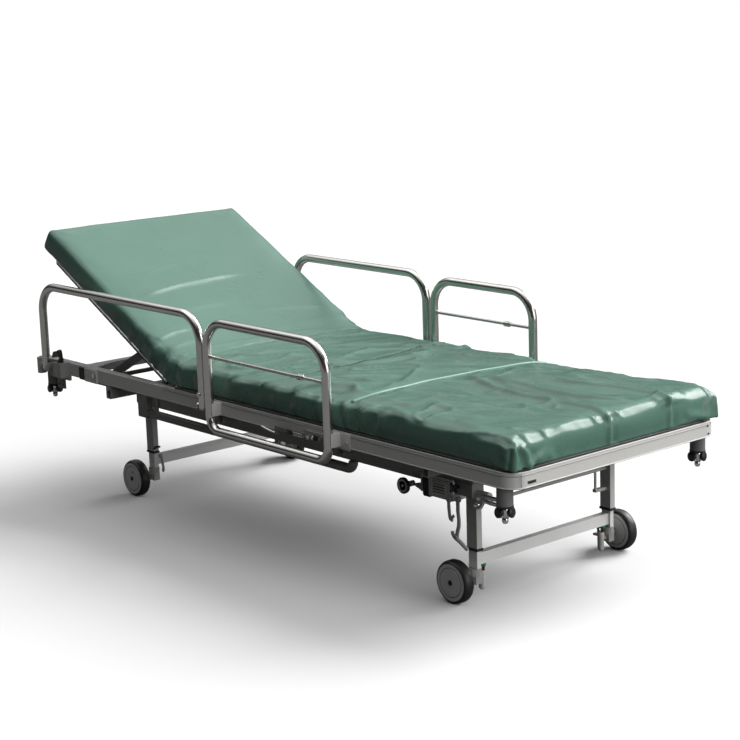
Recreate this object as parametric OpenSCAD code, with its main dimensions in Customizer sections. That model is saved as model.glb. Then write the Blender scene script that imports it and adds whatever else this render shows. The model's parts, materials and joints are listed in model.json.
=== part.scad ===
// Stretcher trolley: deck frame on telescoping legs and swivel castors,
// with a hinged backrest, a folding prop, drop-side rails and a two-part mattress.
// +X points to the foot end, +Z is up, the floor is z = 0 and the origin is under the middle.

/* [Deck] */
// deck frame length
deck_l = 2100; // [1900:10:2200]
// deck frame width
deck_w = 736; // [600:2:800]
// height of the deck rail's top
deck_top = 390; // [370:1:420]
// deck rail height
rail_h = 40; // [36:1:44]
// deck rail width
rail_w = 28; // [24:1:32]
// outer radius of the foot corners
corner_r = 45; // [35:1:60]
// depth of the under rail's lower face below the deck rail
under_drop = 72; // [60:1:90]

/* [Backrest] */
// backrest angle above the deck
back_angle = 27.5; // [20:0.5:40]
// position of the backrest hinge
hinge_x = -356; // [-380:1:-330]
// hinge rod diameter
hinge_d = 16; // [14:1:18]
// length of the backrest panel
panel_l = 705; // [650:1:710]
// prop arm length, equal to the hinge-to-pivot distance
prop_l = 230; // [220:1:240]
// mattress thickness
pad_t = 77; // [60:1:80]
// mattress width
pad_w = 706; // [660:2:716]

/* [Legs] */
// head leg position
head_leg_x = -626; // [-660:1:-600]
// foot leg position
foot_leg_x = 787; // [760:1:800]
// distance of each leg from the centre line
leg_y = 243; // [230:1:250]
// height of the cross beam's top
beam_top = 118; // [112:1:120]

/* [Castors] */
// wheel diameter
wheel_d = 110; // [106:1:112]
// wheel width
wheel_w = 32; // [24:1:34]
// sideways distance from the leg to the wheel's middle
wheel_out = 57; // [56:1:64]
// distance of the axle behind the swivel
trail = 12; // [8:1:14]

/* [Side rails] */
// side rail tube diameter
tube_d = 25; // [22:1:26]
// distance of the side rails from the centre line
side_y = 398; // [394:1:410]
// top tube height of the near head rail
head_rail_z = 628; // [600:1:650]
// top tube height of the near foot rail
foot_rail_z = 619; // [600:1:640]
// extra height of the far side's rails
far_lift = 18; // [0:1:20]
// extra distance of the far head rail's head post from the head end
far_shift = 255; // [200:1:265]
// upper bend radius of the tubes
bend_r = 80; // [60:1:90]

/* [Hidden] */
hl = deck_l / 2;
hw = deck_w / 2;
rail_z = deck_top - rail_h;
head_end = -hl;
hinge_z = deck_top - 40;
under_z = rail_z - under_drop;
sleeve_z = beam_top + 14;
axle_z = wheel_d / 2;
head_post_x = -960;
joint_post_x = -124;
far_joint_x = -76;
loop_x0 = -94;
loop_x1 = 420;
far_loop_x0 = -42;
far_loop_x1 = 369;
latch_back = 54;
loop_z0 = 313;
loop_r = 40;
pivot_z = 372;
guard_z = 255;
guard_d = 26;
paint = [0.62, 0.62, 0.60];
shade = [0.33, 0.34, 0.34];
steel = [0.78, 0.78, 0.78];
black = [0.06, 0.06, 0.06];
green = [0.16, 0.36, 0.28];

// sub-part to show, or all

// Box between two corners
module box(x0, x1, y0, y1, z0, z1) {
  translate([x0, y0, z0])
    cube([x1 - x0, y1 - y0, z1 - z0]);
}

// Round bars along each axis
module bar_x(x0, x1, y, z, d) {
  translate([x0, y, z])
    rotate([0, 90, 0])
      cylinder(h = x1 - x0, d = d, $fn = 40);
}

module bar_y(x, y0, y1, z, d) {
  translate([x, y1, z])
    rotate([90, 0, 0])
      cylinder(h = y1 - y0, d = d, $fn = 40);
}

module bar_z(x, y, z0, z1, d) {
  translate([x, y, z0])
    cylinder(h = z1 - z0, d = d, $fn = 40);
}

// Quarter bend of a round tube in the XZ plane, from angle a0 to a0 + 90
module bend(x, y, z, r, d, a0) {
  translate([x, y, z])
    rotate([90, 0, 0])
      rotate([0, 0, a0])
        rotate_extrude(angle = 90, $fn = 64)
          translate([r, 0])
            circle(d = d, $fn = 32);
}

// Children on both sides of the centre line
module both_sides() {
  children();
  mirror([0, 1, 0])
    children();
}

// Children turned up by angle a about the backrest hinge
module on_hinge(a) {
  translate([hinge_x, 0, hinge_z])
    rotate([0, a, 0])
      children();
}

// Closed ring of the deck rail, its section shrunk by g on every face
module rail_ring(g) {
  both_sides() {
    box(head_end - g, hl - corner_r, hw - rail_w + g, hw - g, rail_z + g, deck_top - g);
    translate([hl - corner_r, hw - corner_r, rail_z + g])
      rotate_extrude(angle = 90, $fn = 64)
        translate([corner_r - rail_w + g, 0])
          square([rail_w - 2 * g, rail_h - 2 * g]);
  }
  box(hl - rail_w + g, hl - g, corner_r - hw, hw - corner_r, rail_z + g, deck_top - g);
}

module deck_frame() {
  color(paint)
    difference() {
      rail_ring(0);
      rail_ring(2.5);
    }
}

// Volume kept free for the leg sleeves
module sleeve_space() {
  for (x = [head_leg_x, foot_leg_x])
    both_sides()
      box(x - 18, x + 18, leg_y - 9, leg_y + 9, 90, rail_z - 10);
}

// Side rails of the chassis with a block on each foot leg
module under_rails() {
  color(shade)
    difference() {
      both_sides() {
        box(head_leg_x - 46, 615, 238, 262, under_z, rail_z - 24);
        box(615, foot_leg_x + 19, 238, 262, rail_z - 50, rail_z - 24);
        box(foot_leg_x - 44, foot_leg_x + 19, 226, 266, under_z - 12, rail_z - 50);
      }
      both_sides()
        box(head_leg_x - 18, 612, 240.5, 259.5, under_z + 2.5, rail_z - 26.5);
      box(-672, -648, -263, 263, rail_z - 41, rail_z - 23);
      sleeve_space();
    }
}

// Square tube across the trolley, centred on x, with its lower face at z
module cross_tube(x, y, z) {
  difference() {
    box(x - 12, x + 12, -y, y, z, z + 24);
    box(x - 10, x + 10, -y - 1, y + 1, z + 2, z + 22);
  }
}

// Lower tubes that carry the deck rail and upper tubes that carry the panel
module cross_tubes() {
  color(shade) {
    for (x = [-100, 420, foot_leg_x - 47])
      cross_tube(x, 360, rail_z - 24);
    for (x = [-290, 60, 420, 780])
      cross_tube(x, hw - rail_w, deck_top - 26);
  }
}

// Tube hung below the deck rails beside the head legs
module lower_cross_tube() {
  color(shade) {
    cross_tube(-660, hw, rail_z - 41);
    both_sides()
      box(-672, -648, hw - rail_w + 2, hw, rail_z - 17, rail_z);
  }
}

module leg_sleeves() {
  color(shade)
    for (x = [head_leg_x, foot_leg_x])
      both_sides()
        difference() {
          box(x - 18, x + 18, leg_y - 9, leg_y + 9, sleeve_z, rail_z - 10);
          box(x - 16, x + 16, leg_y - 7, leg_y + 7, sleeve_z - 1, rail_z - 12);
        }
}

module sleeve_seals() {
  color(black)
    for (x = [head_leg_x, foot_leg_x])
      both_sides()
        difference() {
          box(x - 20, x + 20, leg_y - 11, leg_y + 11, sleeve_z - 6, sleeve_z);
          box(x - 15.06, x + 15.06, leg_y - 6.56, leg_y + 6.56, sleeve_z - 7, sleeve_z + 1);
        }
}

module seat_panel() {
  color(paint) {
    box(hinge_x + 28, hl - corner_r, rail_w - hw, hw - rail_w, deck_top - 2, deck_top);
    box(hl - corner_r, hl - rail_w - 2, corner_r - hw, hw - corner_r, deck_top - 2, deck_top);
  }
}

// Cross tube at the head end with a flat gusset plate in each corner
module head_cross_member() {
  color(paint) {
    difference() {
      box(-902, -872, rail_w - hw, hw - rail_w, deck_top - 45, deck_top - 20);
      box(-900, -874, rail_w - hw - 1, hw - rail_w + 1, deck_top - 43, deck_top - 22);
    }
    both_sides()
      translate([-872, 0, deck_top - 23])
        linear_extrude(height = 3)
          polygon([[0, hw - rail_w], [170, hw - rail_w], [128, 305], [34, 305], [0, 200]]);
  }
}

module hinge_rod() {
  color(steel)
    bar_y(hinge_x, rail_w - hw, hw - rail_w, hinge_z, hinge_d);
}

// Slotted plates on the deck rails that guide the prop's lower bar
module prop_racks() {
  x0 = hinge_x - 2 * prop_l - 22;
  x1 = hinge_x - 2 * prop_l * cos(65) + 22;
  color(shade)
    both_sides()
      difference() {
        box(x0, x1, hw - rail_w - 10, hw - rail_w, hinge_z - 16, hinge_z + 14);
        box(x0 + 14, x1 - 14, hw - rail_w - 11, hw - rail_w + 1, hinge_z - 7.1, hinge_z + 7.1);
        for (k = [0 : 5])
          translate([x0 + 30 + 46 * k, hw - rail_w + 1, hinge_z - 5.5])
            rotate([90, 0, 0])
              cylinder(h = 12, r = 7.1, $fn = 32);
      }
}

// Tubes below the under rails, curled up into them at the foot end
module guard_bars() {
  curl = under_z - guard_z;
  color(shade)
    both_sides() {
      bar_x(head_leg_x + 20, 330, 262, guard_z, guard_d);
      bend(330, 262, under_z, curl, guard_d, 270);
      box(head_leg_x - 20, head_leg_x + 28, 262, 275, guard_z - 13, guard_z + 58);
      box(-566, -552, 262, 266, guard_z, guard_z + 58);
    }
}

// Children on the near side, and again on the far side moved by dx
module near_and_far(dx) {
  mirror([0, 1, 0])
    children();
  translate([dx, 0, 0])
    children();
}

// Pads and spacers bolted to the outside of the deck rails at the head end
module rail_blocks() {
  color(paint)
    near_and_far(far_shift)
      box(-780, -714, hw, hw + 6, rail_z - 3, deck_top - 2);
}

// Rubber spacers, end plugs of the deck rails and buffers under the flat backrest
module rail_spacers() {
  color(black) {
    near_and_far(far_shift)
      box(-814, -780, hw, hw + 4, rail_z - 1, deck_top - 4);
    both_sides() {
      box(head_end, head_end + 20, hw - rail_w + 2.5, hw - 2.5, rail_z + 2.5, deck_top - 2.5);
      bar_z(-887, 309, deck_top - 20, deck_top - 16.8, 20);
    }
  }
}

module rail_bolts() {
  color(steel)
    near_and_far(far_shift) {
      bar_y(-724, hw + 6, hw + 11, rail_z + 22, 14);
      bar_y(-930, hw + 8, hw + 12, rail_z + 6, 12);
    }
}

// Plate, hinge ears and clamp block that carry each head rail's head post
module head_brackets() {
  color(shade)
    near_and_far(far_shift) {
      box(-985, -866, hw, hw + 8, rail_z - 14, deck_top + 2);
      for (x = [head_post_x - 20, head_post_x + 13.3])
        union() {
          box(x, x + 6.7, hw + 8, side_y, pivot_z - 13, pivot_z + 13);
          bar_x(x, x + 6.7, side_y, pivot_z, 26);
        }
      bar_x(head_post_x - 24, head_post_x + 24, side_y, pivot_z, 10);
      difference() {
        box(-912, -866, hw + 8, side_y + 8, rail_z - 2, deck_top + 3);
        bar_z(-889, side_y - 8, rail_z + 12, deck_top + 4, 8.12);
      }
    }
}

// Sockets for an infusion pole, clear of the side rails above
module pole_sockets() {
  color(steel)
    both_sides()
      difference() {
        union() {
          bar_z(-1003, side_y - 8, rail_z - 4, deck_top + 6, 28);
          box(-1015, -991, hw, side_y - 8, rail_z, deck_top);
        }
        bar_z(-1003, side_y - 8, rail_z - 5, deck_top + 7, 19);
      }
}

// Ear and pin that carry each head rail's other post
module joint_brackets() {
  color(steel)
    near_and_far(far_joint_x - joint_post_x) {
      box(joint_post_x - 56, joint_post_x - 13.5, hw, hw + 6, rail_z + 2, deck_top - 2);
      box(joint_post_x - 20, joint_post_x - 13.5, hw + 6, side_y, pivot_z - 12, pivot_z + 12);
      bar_x(joint_post_x - 20, joint_post_x - 13.5, side_y, pivot_z, 24);
      bar_x(joint_post_x - 24, joint_post_x + 9, side_y, pivot_z, 10);
    }
}

// Guide blocks in which the foot rails slide up and down
module loop_guide(x) {
  difference() {
    box(x - 15, x + 15, hw, side_y + 4, rail_z + 2, deck_top - 2);
    bar_z(x, side_y, rail_z + 1, deck_top - 1, tube_d + 0.14);
  }
}

module loop_guides() {
  color(steel) {
    mirror([0, 1, 0]) {
      loop_guide(loop_x0);
      loop_guide(loop_x1);
    }
    loop_guide(far_loop_x0);
    loop_guide(far_loop_x1);
  }
}

module latch_housings() {
  color(shade)
    near_and_far(far_loop_x1 - loop_x1)
      translate([loop_x1 - latch_back, 0, 0]) {
        box(-70, 26, hw, hw + 9, rail_z + 1, rail_z + 24);
        bar_y(0, hw + 9, hw + 16.4, rail_z + 11, 8);
      }
}

module gearbox() {
  color(shade) {
    box(655, 743, -272, -214, under_z - 32, rail_z - 50);
    bar_y(737, -279, -272, under_z + 14, 11);
    bar_y(737, -277, -272, under_z - 10, 12);
    bar_x(foot_leg_x + 19, foot_leg_x + 60, -246, under_z - 4, 20);
  }
}

// Louvred cover on the gearbox's outer face
module gearbox_vents() {
  color(paint)
    difference() {
      box(668, 724, -277, -272, under_z - 24, under_z + 16);
      for (k = [0 : 4])
        box(674, 718, -278, -274, under_z - 18 + 7 * k, under_z - 15 + 7 * k);
    }
}

module gearbox_seal() {
  color(black)
    box(633, 655, -270, -218, under_z - 38, rail_z - 51);
}

// Rod with a cone collar, an end boss for the control knob and a plate on the seal
module control_rod() {
  color(steel) {
    bar_x(584, 600, -261, 260, 7);
    translate([598, -261, 260])
      rotate([0, 90, 0])
        cylinder(h = 24, r1 = 5, r2 = 11, $fn = 40);
    difference() {
      bar_y(579, -269, -254, 260, 15);
      bar_y(579, -270, -253, 260, 6.12);
    }
    box(622, 633, -268, -222, 250, 298);
  }
}

// Cross shaft between the foot legs with the far side's link and arm
module lift_shaft() {
  color(steel) {
    bar_y(foot_leg_x, 9 - leg_y, leg_y - 9, 240, 9);
    bar_z(foot_leg_x, 196, 190, 240, 7);
    box(foot_leg_x - 6, foot_leg_x + 6, 192, leg_y - 9, 182, 190);
  }
}

module corner_stubs() {
  color(shade)
    for (x = [-1006, 1002])
      both_sides()
        bar_z(x, hw - 20.5, rail_z - 46, rail_z, 40);
}

module corner_yokes() {
  color(steel)
    for (x = [-1006, 1002])
      both_sides() {
        box(x - 9, x + 9, hw - 28.5, hw - 12.5, rail_z - 78, rail_z - 46);
        translate([x, hw - 20.5, rail_z - 82])
          sphere(d = 16, $fn = 32);
      }
}

module corner_discs() {
  color(black)
    for (x = [-1006, 1002])
      both_sides()
        for (s = [-1, 1])
          translate([x + 9.5 * s, hw - 20.5, rail_z - 60])
            rotate([0, 90 * s, 0])
              cylinder(h = 9, d = 26, $fn = 40);
}

// Cushion profile in the XZ plane, pulled across the deck
module cushion(outline) {
  translate([0, pad_w / 2, 0])
    rotate([90, 0, 0])
      linear_extrude(height = pad_w)
        polygon(outline);
}

module seat_mattress() {
  z0 = deck_top;
  color(green)
    cushion([
      [hinge_x + 26, z0],
      [hl - 12, z0],
      [hl - 6, z0 + pad_t / 2],
      [hl - 12, z0 + pad_t],
      [hinge_x + 75, z0 + pad_t]
    ]);
}

module back_mattress() {
  color(green)
    on_hinge(back_angle)
      cushion([
        [-725, 40],
        [-26, 40],
        [-75, 40 + pad_t],
        [-725, 40 + pad_t]
      ]);
}

module back_frame() {
  color(shade)
    on_hinge(back_angle) {
      both_sides() {
        box(-700, -10, 298, 320, 23.5, 38);
        difference() {
          union() {
            bar_y(0, 298, 320, 0, 28);
            box(-24, 0, 298, 320, -6, 30);
          }
          bar_y(0, 297, 321, 0, hinge_d + 0.14);
        }
        difference() {
          box(-prop_l - 12, -prop_l + 12, 298, 304, -12, 23.5);
          bar_y(-prop_l, 297, 305, 0, 12.12);
        }
      }
      for (x = [-60, -180, -510, -690])
        box(x - 10, x + 10, -298, 298, 24, 38);
    }
}

module back_panel() {
  color(paint)
    on_hinge(back_angle)
      box(-panel_l, -12, -322, 322, 38, 40);
}

// Two prop arms joined by the bar that slides in the racks
module back_prop() {
  color(shade)
    on_hinge(back_angle)
      translate([-prop_l, 0, 0])
        rotate([0, -2 * back_angle, 0]) {
          both_sides() {
            box(-prop_l, 0, 286, 296, -12, 12);
            bar_y(0, 286, 296, 0, 24);
            bar_y(-prop_l, 286, 296, 0, 24);
            bar_y(0, 296, 303, 0, 12);
          }
          bar_y(-prop_l, 1 - hw + rail_w, hw - rail_w - 1, 0, 14);
        }
}

// Head side rail between posts x0 and x1: one bent tube with an eye at each foot
module head_rail(x0, x1, z) {
  color(steel)
    difference() {
      union() {
        for (x = [x0, x1]) {
          bar_z(x, side_y, pivot_z, z - bend_r, tube_d);
          translate([x, side_y, pivot_z])
            sphere(d = tube_d, $fn = 40);
        }
        bar_x(x0 + bend_r, x1 - bend_r, side_y, z, tube_d);
        bend(x0 + bend_r, side_y, z - bend_r, bend_r, tube_d, 90);
        bend(x1 - bend_r, side_y, z - bend_r, bend_r, tube_d, 0);
        bar_y(x1, side_y + 11, side_y + 16, pivot_z + 39, 12);
      }
      for (x = [x0, x1])
        bar_x(x - 14, x + 14, side_y, pivot_z, 10.14);
    }
}

// Foot side rail between posts x0 and x1: a closed tube loop with a thin middle rod
module foot_rail(x0, x1, z) {
  mid = z - 99;
  color(steel) {
    for (x = [x0, x1])
      bar_z(x, side_y, loop_z0 + loop_r, z - bend_r, tube_d);
    bar_x(x0 + bend_r, x1 - bend_r, side_y, z, tube_d);
    bar_x(x0 + loop_r, x1 - loop_r, side_y, loop_z0, tube_d);
    bend(x0 + bend_r, side_y, z - bend_r, bend_r, tube_d, 90);
    bend(x1 - bend_r, side_y, z - bend_r, bend_r, tube_d, 0);
    bend(x0 + loop_r, side_y, loop_z0 + loop_r, loop_r, tube_d, 180);
    bend(x1 - loop_r, side_y, loop_z0 + loop_r, loop_r, tube_d, 270);
    bar_x(x0, x1, side_y, mid, 9);
    bar_x(x1 - 112, x1 - 92, side_y, mid, 16);
  }
}

module head_rail_near() {
  mirror([0, 1, 0])
    head_rail(head_post_x, joint_post_x, head_rail_z);
}

module head_rail_far() {
  head_rail(head_post_x + far_shift, far_joint_x, head_rail_z + far_lift);
}

module foot_rail_near() {
  mirror([0, 1, 0])
    foot_rail(loop_x0, loop_x1, foot_rail_z);
}

module foot_rail_far() {
  foot_rail(far_loop_x0, far_loop_x1, foot_rail_z + far_lift);
}

// Flat lever with a finger tab that frees the foot rail, pivoted at x
module latch(x) {
  color(steel)
    difference() {
      union() {
        box(x - 190, x, hw + 10, hw + 15, rail_z + 5, rail_z + 17);
        bar_y(x, hw + 10, hw + 15, rail_z + 11, 20);
        box(x - 190, x - 174, hw + 10, hw + 15, rail_z - 6, rail_z + 17);
      }
      bar_y(x, hw + 9, hw + 16, rail_z + 11, 8.14);
    }
}

module latch_near() {
  mirror([0, 1, 0])
    latch(loop_x1 - latch_back);
}

module latch_far() {
  latch(far_loop_x1 - latch_back);
}

// Winged clamp screw on each head bracket
module wing_knob(x) {
  color(black) {
    bar_z(x, side_y - 8, rail_z + 14, deck_top + 8, 8);
    bar_z(x, side_y - 8, deck_top + 4, deck_top + 22, 20);
    box(x - 20, x + 20, side_y - 12, side_y - 4, deck_top + 12, deck_top + 32);
  }
}

module wing_knob_near() {
  mirror([0, 1, 0])
    wing_knob(-889);
}

module wing_knob_far() {
  wing_knob(far_shift - 889);
}

module control_knob() {
  color(steel) {
    bar_y(579, -285, -255, 260, 6);
    bar_y(579, -292, -284, 260, 38);
  }
}

// Four-armed hand screw beside the gearbox
module clamp_knob() {
  color(black)
    translate([758, 0, 286]) {
      bar_y(0, -284, -266.2, 0, 8);
      bar_y(0, -288, -278, 0, 14);
      for (a = [45, 135])
        rotate([0, a, 0])
          box(-14, 14, -286, -280, -3.5, 3.5);
    }
}

// Levers that hang on short shafts under the gearbox
module release_lever() {
  color(shade) {
    bar_y(739, -284, -279.4, 254, 16);
    box(735, 743, -284, -280, 206, 254);
    box(735, 755, -284, -280, 202, 208);
  }
}

module foot_pedal() {
  color(shade) {
    bar_y(764, -278, -266.3, 256, 14);
    box(759, 769, -278, -272, 160, 256);
    box(738, 769, -278, -258, 154, 160);
  }
}

// Inner posts and cross beam of one leg pair
module leg_pair(x) {
  difference() {
    both_sides()
      box(x - 15, x + 15, leg_y - 6.5, leg_y + 6.5, 80, rail_z - 15);
    both_sides()
      bar_z(x, leg_y, 79, 104, 9.12);
  }
  box(x - 10, x + 10, 6.5 - leg_y, leg_y - 6.5, beam_top - 30, beam_top);
}

module head_posts() {
  color(paint)
    leg_pair(head_leg_x);
}

module foot_posts() {
  color(paint)
    leg_pair(foot_leg_x);
}

// Swivel housing, arm and axle of one castor
module fork(x) {
  color(shade) {
    bar_z(x, leg_y, 60, 79.7, 32);
    bar_z(x, leg_y, 60, 102, 9);
    box(x - trail - 14, x + 14, leg_y - 10, leg_y + 10, 40, 64);
    bar_y(x - trail, leg_y + 10, leg_y + wheel_out + 10, axle_z, 12);
  }
}

module fork_head_near() {
  mirror([0, 1, 0])
    fork(head_leg_x);
}

module fork_head_far() {
  fork(head_leg_x);
}

module fork_foot_near() {
  mirror([0, 1, 0])
    fork(foot_leg_x);
}

module fork_foot_far() {
  fork(foot_leg_x);
}

// Tyre with rounded shoulders, turned about its axle
module tyre(x) {
  r = wheel_d / 2;
  h = wheel_w / 2;
  color(black)
    translate([x - trail, leg_y + wheel_out, axle_z])
      rotate([90, 0, 0])
        rotate_extrude($fn = 96)
          polygon([
            [r - 8, -h], [r - 5, -h], [r - 2, -h + 3], [r, -h + 8],
            [r, h - 8], [r - 2, h - 3], [r - 5, h], [r - 8, h]
          ]);
}

// Grooved hub with a blind bore for the axle
module hub(x) {
  r = wheel_d / 2 - 8;
  h = wheel_w / 2;
  color([0.62, 0.62, 0.61])
    translate([x - trail, leg_y + wheel_out, axle_z])
      rotate([90, 0, 0])
        rotate_extrude($fn = 96)
          polygon([
            [0, -h], [7, -h], [7, -h - 1], [r - 11, -h - 1], [r - 11, -h + 1],
            [r - 9, -h + 1], [r - 9, -h], [r, -h], [r, h], [r - 9, h], [r - 9, h - 1],
            [r - 11, h - 1], [r - 11, h + 1], [6.06, h + 1], [6.06, -h + 5], [0, -h + 5]
          ]);
}

module wheel_head_near() {
  mirror([0, 1, 0])
    tyre(head_leg_x);
}

module wheel_head_far() {
  tyre(head_leg_x);
}

module wheel_foot_near() {
  mirror([0, 1, 0])
    tyre(foot_leg_x);
}

module wheel_foot_far() {
  tyre(foot_leg_x);
}

module hubs_head_near() {
  mirror([0, 1, 0])
    hub(head_leg_x);
}

module hubs_head_far() {
  hub(head_leg_x);
}

module hubs_foot_near() {
  mirror([0, 1, 0])
    hub(foot_leg_x);
}

module hubs_foot_far() {
  hub(foot_leg_x);
}

// Rocking brake pedal on the inner side of one foot castor
module brake_pedal() {
  color(shade) {
    bar_y(foot_leg_x - 2, leg_y - 33, leg_y - 10.4, 51, 16);
    box(foot_leg_x - 2, foot_leg_x + 34, leg_y - 33, leg_y - 17, 53, 59);
    box(foot_leg_x - 32, foot_leg_x - 2, leg_y - 33, leg_y - 17, 53, 59);
  }
}

module brake_pedal_near() {
  mirror([0, 1, 0])
    brake_pedal();
}

module brake_pedal_far() {
  brake_pedal();
}

deck_frame();
under_rails();
cross_tubes();
lower_cross_tube();
leg_sleeves();
sleeve_seals();
seat_panel();
head_cross_member();
hinge_rod();
prop_racks();
guard_bars();
rail_blocks();
rail_spacers();
rail_bolts();
head_brackets();
pole_sockets();
joint_brackets();
loop_guides();
latch_housings();
gearbox();
gearbox_vents();
gearbox_seal();
control_rod();
lift_shaft();
corner_stubs();
corner_yokes();
corner_discs();
seat_mattress();
back_frame();
back_panel();
back_mattress();
back_prop();
head_rail_near();
head_rail_far();
foot_rail_near();
foot_rail_far();
latch_near();
latch_far();
wing_knob_near();
wing_knob_far();
control_knob();
clamp_knob();
release_lever();
foot_pedal();
head_posts();
foot_posts();
fork_head_near();
fork_head_far();
fork_foot_near();
fork_foot_far();
wheel_head_near();
wheel_head_far();
wheel_foot_near();
wheel_foot_far();
hubs_head_near();
hubs_head_far();
hubs_foot_near();
hubs_foot_far();
brake_pedal_near();
brake_pedal_far();
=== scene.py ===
"""Looks of a patient trolley: camera, light, materials, mattress and trim round its CAD frame."""
import json
import math

import bmesh
import bpy
import numpy as np
from mathutils import Matrix, Vector


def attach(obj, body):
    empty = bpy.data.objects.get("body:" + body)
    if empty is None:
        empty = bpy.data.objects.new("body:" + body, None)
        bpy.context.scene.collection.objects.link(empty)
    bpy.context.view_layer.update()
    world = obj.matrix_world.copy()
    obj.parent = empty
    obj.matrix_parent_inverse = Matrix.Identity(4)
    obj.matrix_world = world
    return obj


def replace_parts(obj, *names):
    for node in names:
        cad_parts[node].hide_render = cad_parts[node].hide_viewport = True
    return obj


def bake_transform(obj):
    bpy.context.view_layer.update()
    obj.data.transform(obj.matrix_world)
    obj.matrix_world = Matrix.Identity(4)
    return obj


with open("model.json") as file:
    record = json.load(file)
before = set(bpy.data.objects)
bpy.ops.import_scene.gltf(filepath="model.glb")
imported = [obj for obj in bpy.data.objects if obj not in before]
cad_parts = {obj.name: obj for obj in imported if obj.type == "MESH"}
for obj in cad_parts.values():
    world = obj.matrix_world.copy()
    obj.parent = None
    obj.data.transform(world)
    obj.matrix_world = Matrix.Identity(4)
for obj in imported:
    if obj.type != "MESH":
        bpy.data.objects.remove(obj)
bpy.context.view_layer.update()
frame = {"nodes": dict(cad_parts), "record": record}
nodes = frame["nodes"]
scene = bpy.context.scene
scene.view_settings.view_transform = "Standard"

# Shared with the CAD, in metres and radians
HINGE = Vector((-0.356, 0.0, 0.350))
BACK_ANGLE = math.radians(27.5)
DECK_TOP = 0.390
DECK_END = 1.05
DECK_HALF = 0.368
DECK_CORNER = 0.045
PAD = 0.077
WHEEL_HEIGHT = 0.055
WHEEL_TRACK = 0.300
CASTOR_TRAIL = 0.012

# Diffuse grey of the floor toward bounced, mirrored and camera rays
FLOOR_TONES = (0.045, 0.14, 0.71)

# Finish of every CAD part that stays
WELD = 0.00002
EDGE_BEVEL = 0.0012


# ---------------------------------------------------------------- camera, light and floor
def aim(obj, target, roll=0.0):
    """Turn a camera or light so that it looks at target."""
    direction = Vector(target) - obj.location
    turn = direction.to_track_quat("-Z", "Y").to_matrix()
    obj.matrix_world = (
        Matrix.Translation(obj.location)
        @ (turn @ Matrix.Rotation(roll, 3, "Z")).to_4x4()
    )


def make_camera():
    azimuth, elevation, roll = (math.radians(angle) for angle in (49.72, 11.93, -1.85))
    distance = 5.094
    target = Vector((0.0875, 0.0299, 0.4378))
    back = Vector((
        math.sin(azimuth) * math.cos(elevation),
        -math.cos(azimuth) * math.cos(elevation),
        math.sin(elevation),
    ))
    data = bpy.data.cameras.new("camera")
    data.lens = 87.93
    data.sensor_width = 36.0
    camera = bpy.data.objects.new("camera", data)
    scene.collection.objects.link(camera)
    camera.location = target + back * distance
    aim(camera, target, roll)
    scene.camera = camera


def sky(tree, coord, toward, stops, strength):
    """Background whose brightness depends on how far a ray points toward the bright side."""
    lit = tree.nodes.new("ShaderNodeBackground")
    dot = tree.nodes.new("ShaderNodeVectorMath")
    ramp = tree.nodes.new("ShaderNodeValToRGB")
    dot.operation = "DOT_PRODUCT"
    dot.inputs[1].default_value = Vector(toward).normalized()
    ramp.color_ramp.interpolation = "EASE"
    ramp.color_ramp.elements.new(0.5)
    for element, (position, level) in zip(ramp.color_ramp.elements, stops):
        element.position = position
        element.color = (level, level, level, 1)
    lit.inputs["Strength"].default_value = strength
    tree.links.new(coord.outputs["Generated"], dot.inputs[0])
    tree.links.new(dot.outputs["Value"], ramp.inputs["Fac"])
    tree.links.new(ramp.outputs["Color"], lit.inputs["Color"])
    return lit


def by_ray(tree, output, bounced, mirrored, seen):
    """Give bounced, mirrored and camera rays a shader each."""
    out = tree.nodes.new(output)
    path = tree.nodes.new("ShaderNodeLightPath")
    inner = tree.nodes.new("ShaderNodeMixShader")
    outer = tree.nodes.new("ShaderNodeMixShader")
    link = tree.links.new
    for ray, mix, usual, special in (
        ("Is Glossy Ray", inner, bounced, mirrored),
        ("Is Camera Ray", outer, inner, seen),
    ):
        link(path.outputs[ray], mix.inputs["Fac"])
        link(usual.outputs[0], mix.inputs[1])
        link(special.outputs[0], mix.inputs[2])
    link(outer.outputs[0], out.inputs["Surface"])


def make_world():
    """White backdrop; soft light from above the foot end, sharper light in reflections."""
    world = bpy.data.worlds.new("studio")
    scene.world = world
    world.use_nodes = True
    tree = world.node_tree
    tree.nodes.clear()
    seen = tree.nodes.new("ShaderNodeBackground")
    coord = tree.nodes.new("ShaderNodeTexCoord")
    seen.inputs["Strength"].default_value = 1.0
    seen.inputs["Color"].default_value = (1, 1, 1, 1)
    soft = sky(tree, coord, (0.66, 0.42, 0.62), ((0.14, 0.004), (0.5, 0.36), (0.9, 1.0)), 1.42)
    crisp = sky(tree, coord, (-0.26, 0.16, 0.95), ((0.44, 0.02), (0.62, 0.28), (0.84, 1.0)), 1.25)
    by_ray(tree, "ShaderNodeOutputWorld", soft, crisp, seen)


def make_sun(name, toward, angle, strength):
    """Sun that shines from toward; a wide angle gives soft shadows."""
    data = bpy.data.lights.new(name, "SUN")
    data.angle = math.radians(angle)
    data.energy = strength
    light = bpy.data.objects.new(name, data)
    scene.collection.objects.link(light)
    light.location = Vector(toward) * 4
    aim(light, (0, 0, 0))


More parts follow.
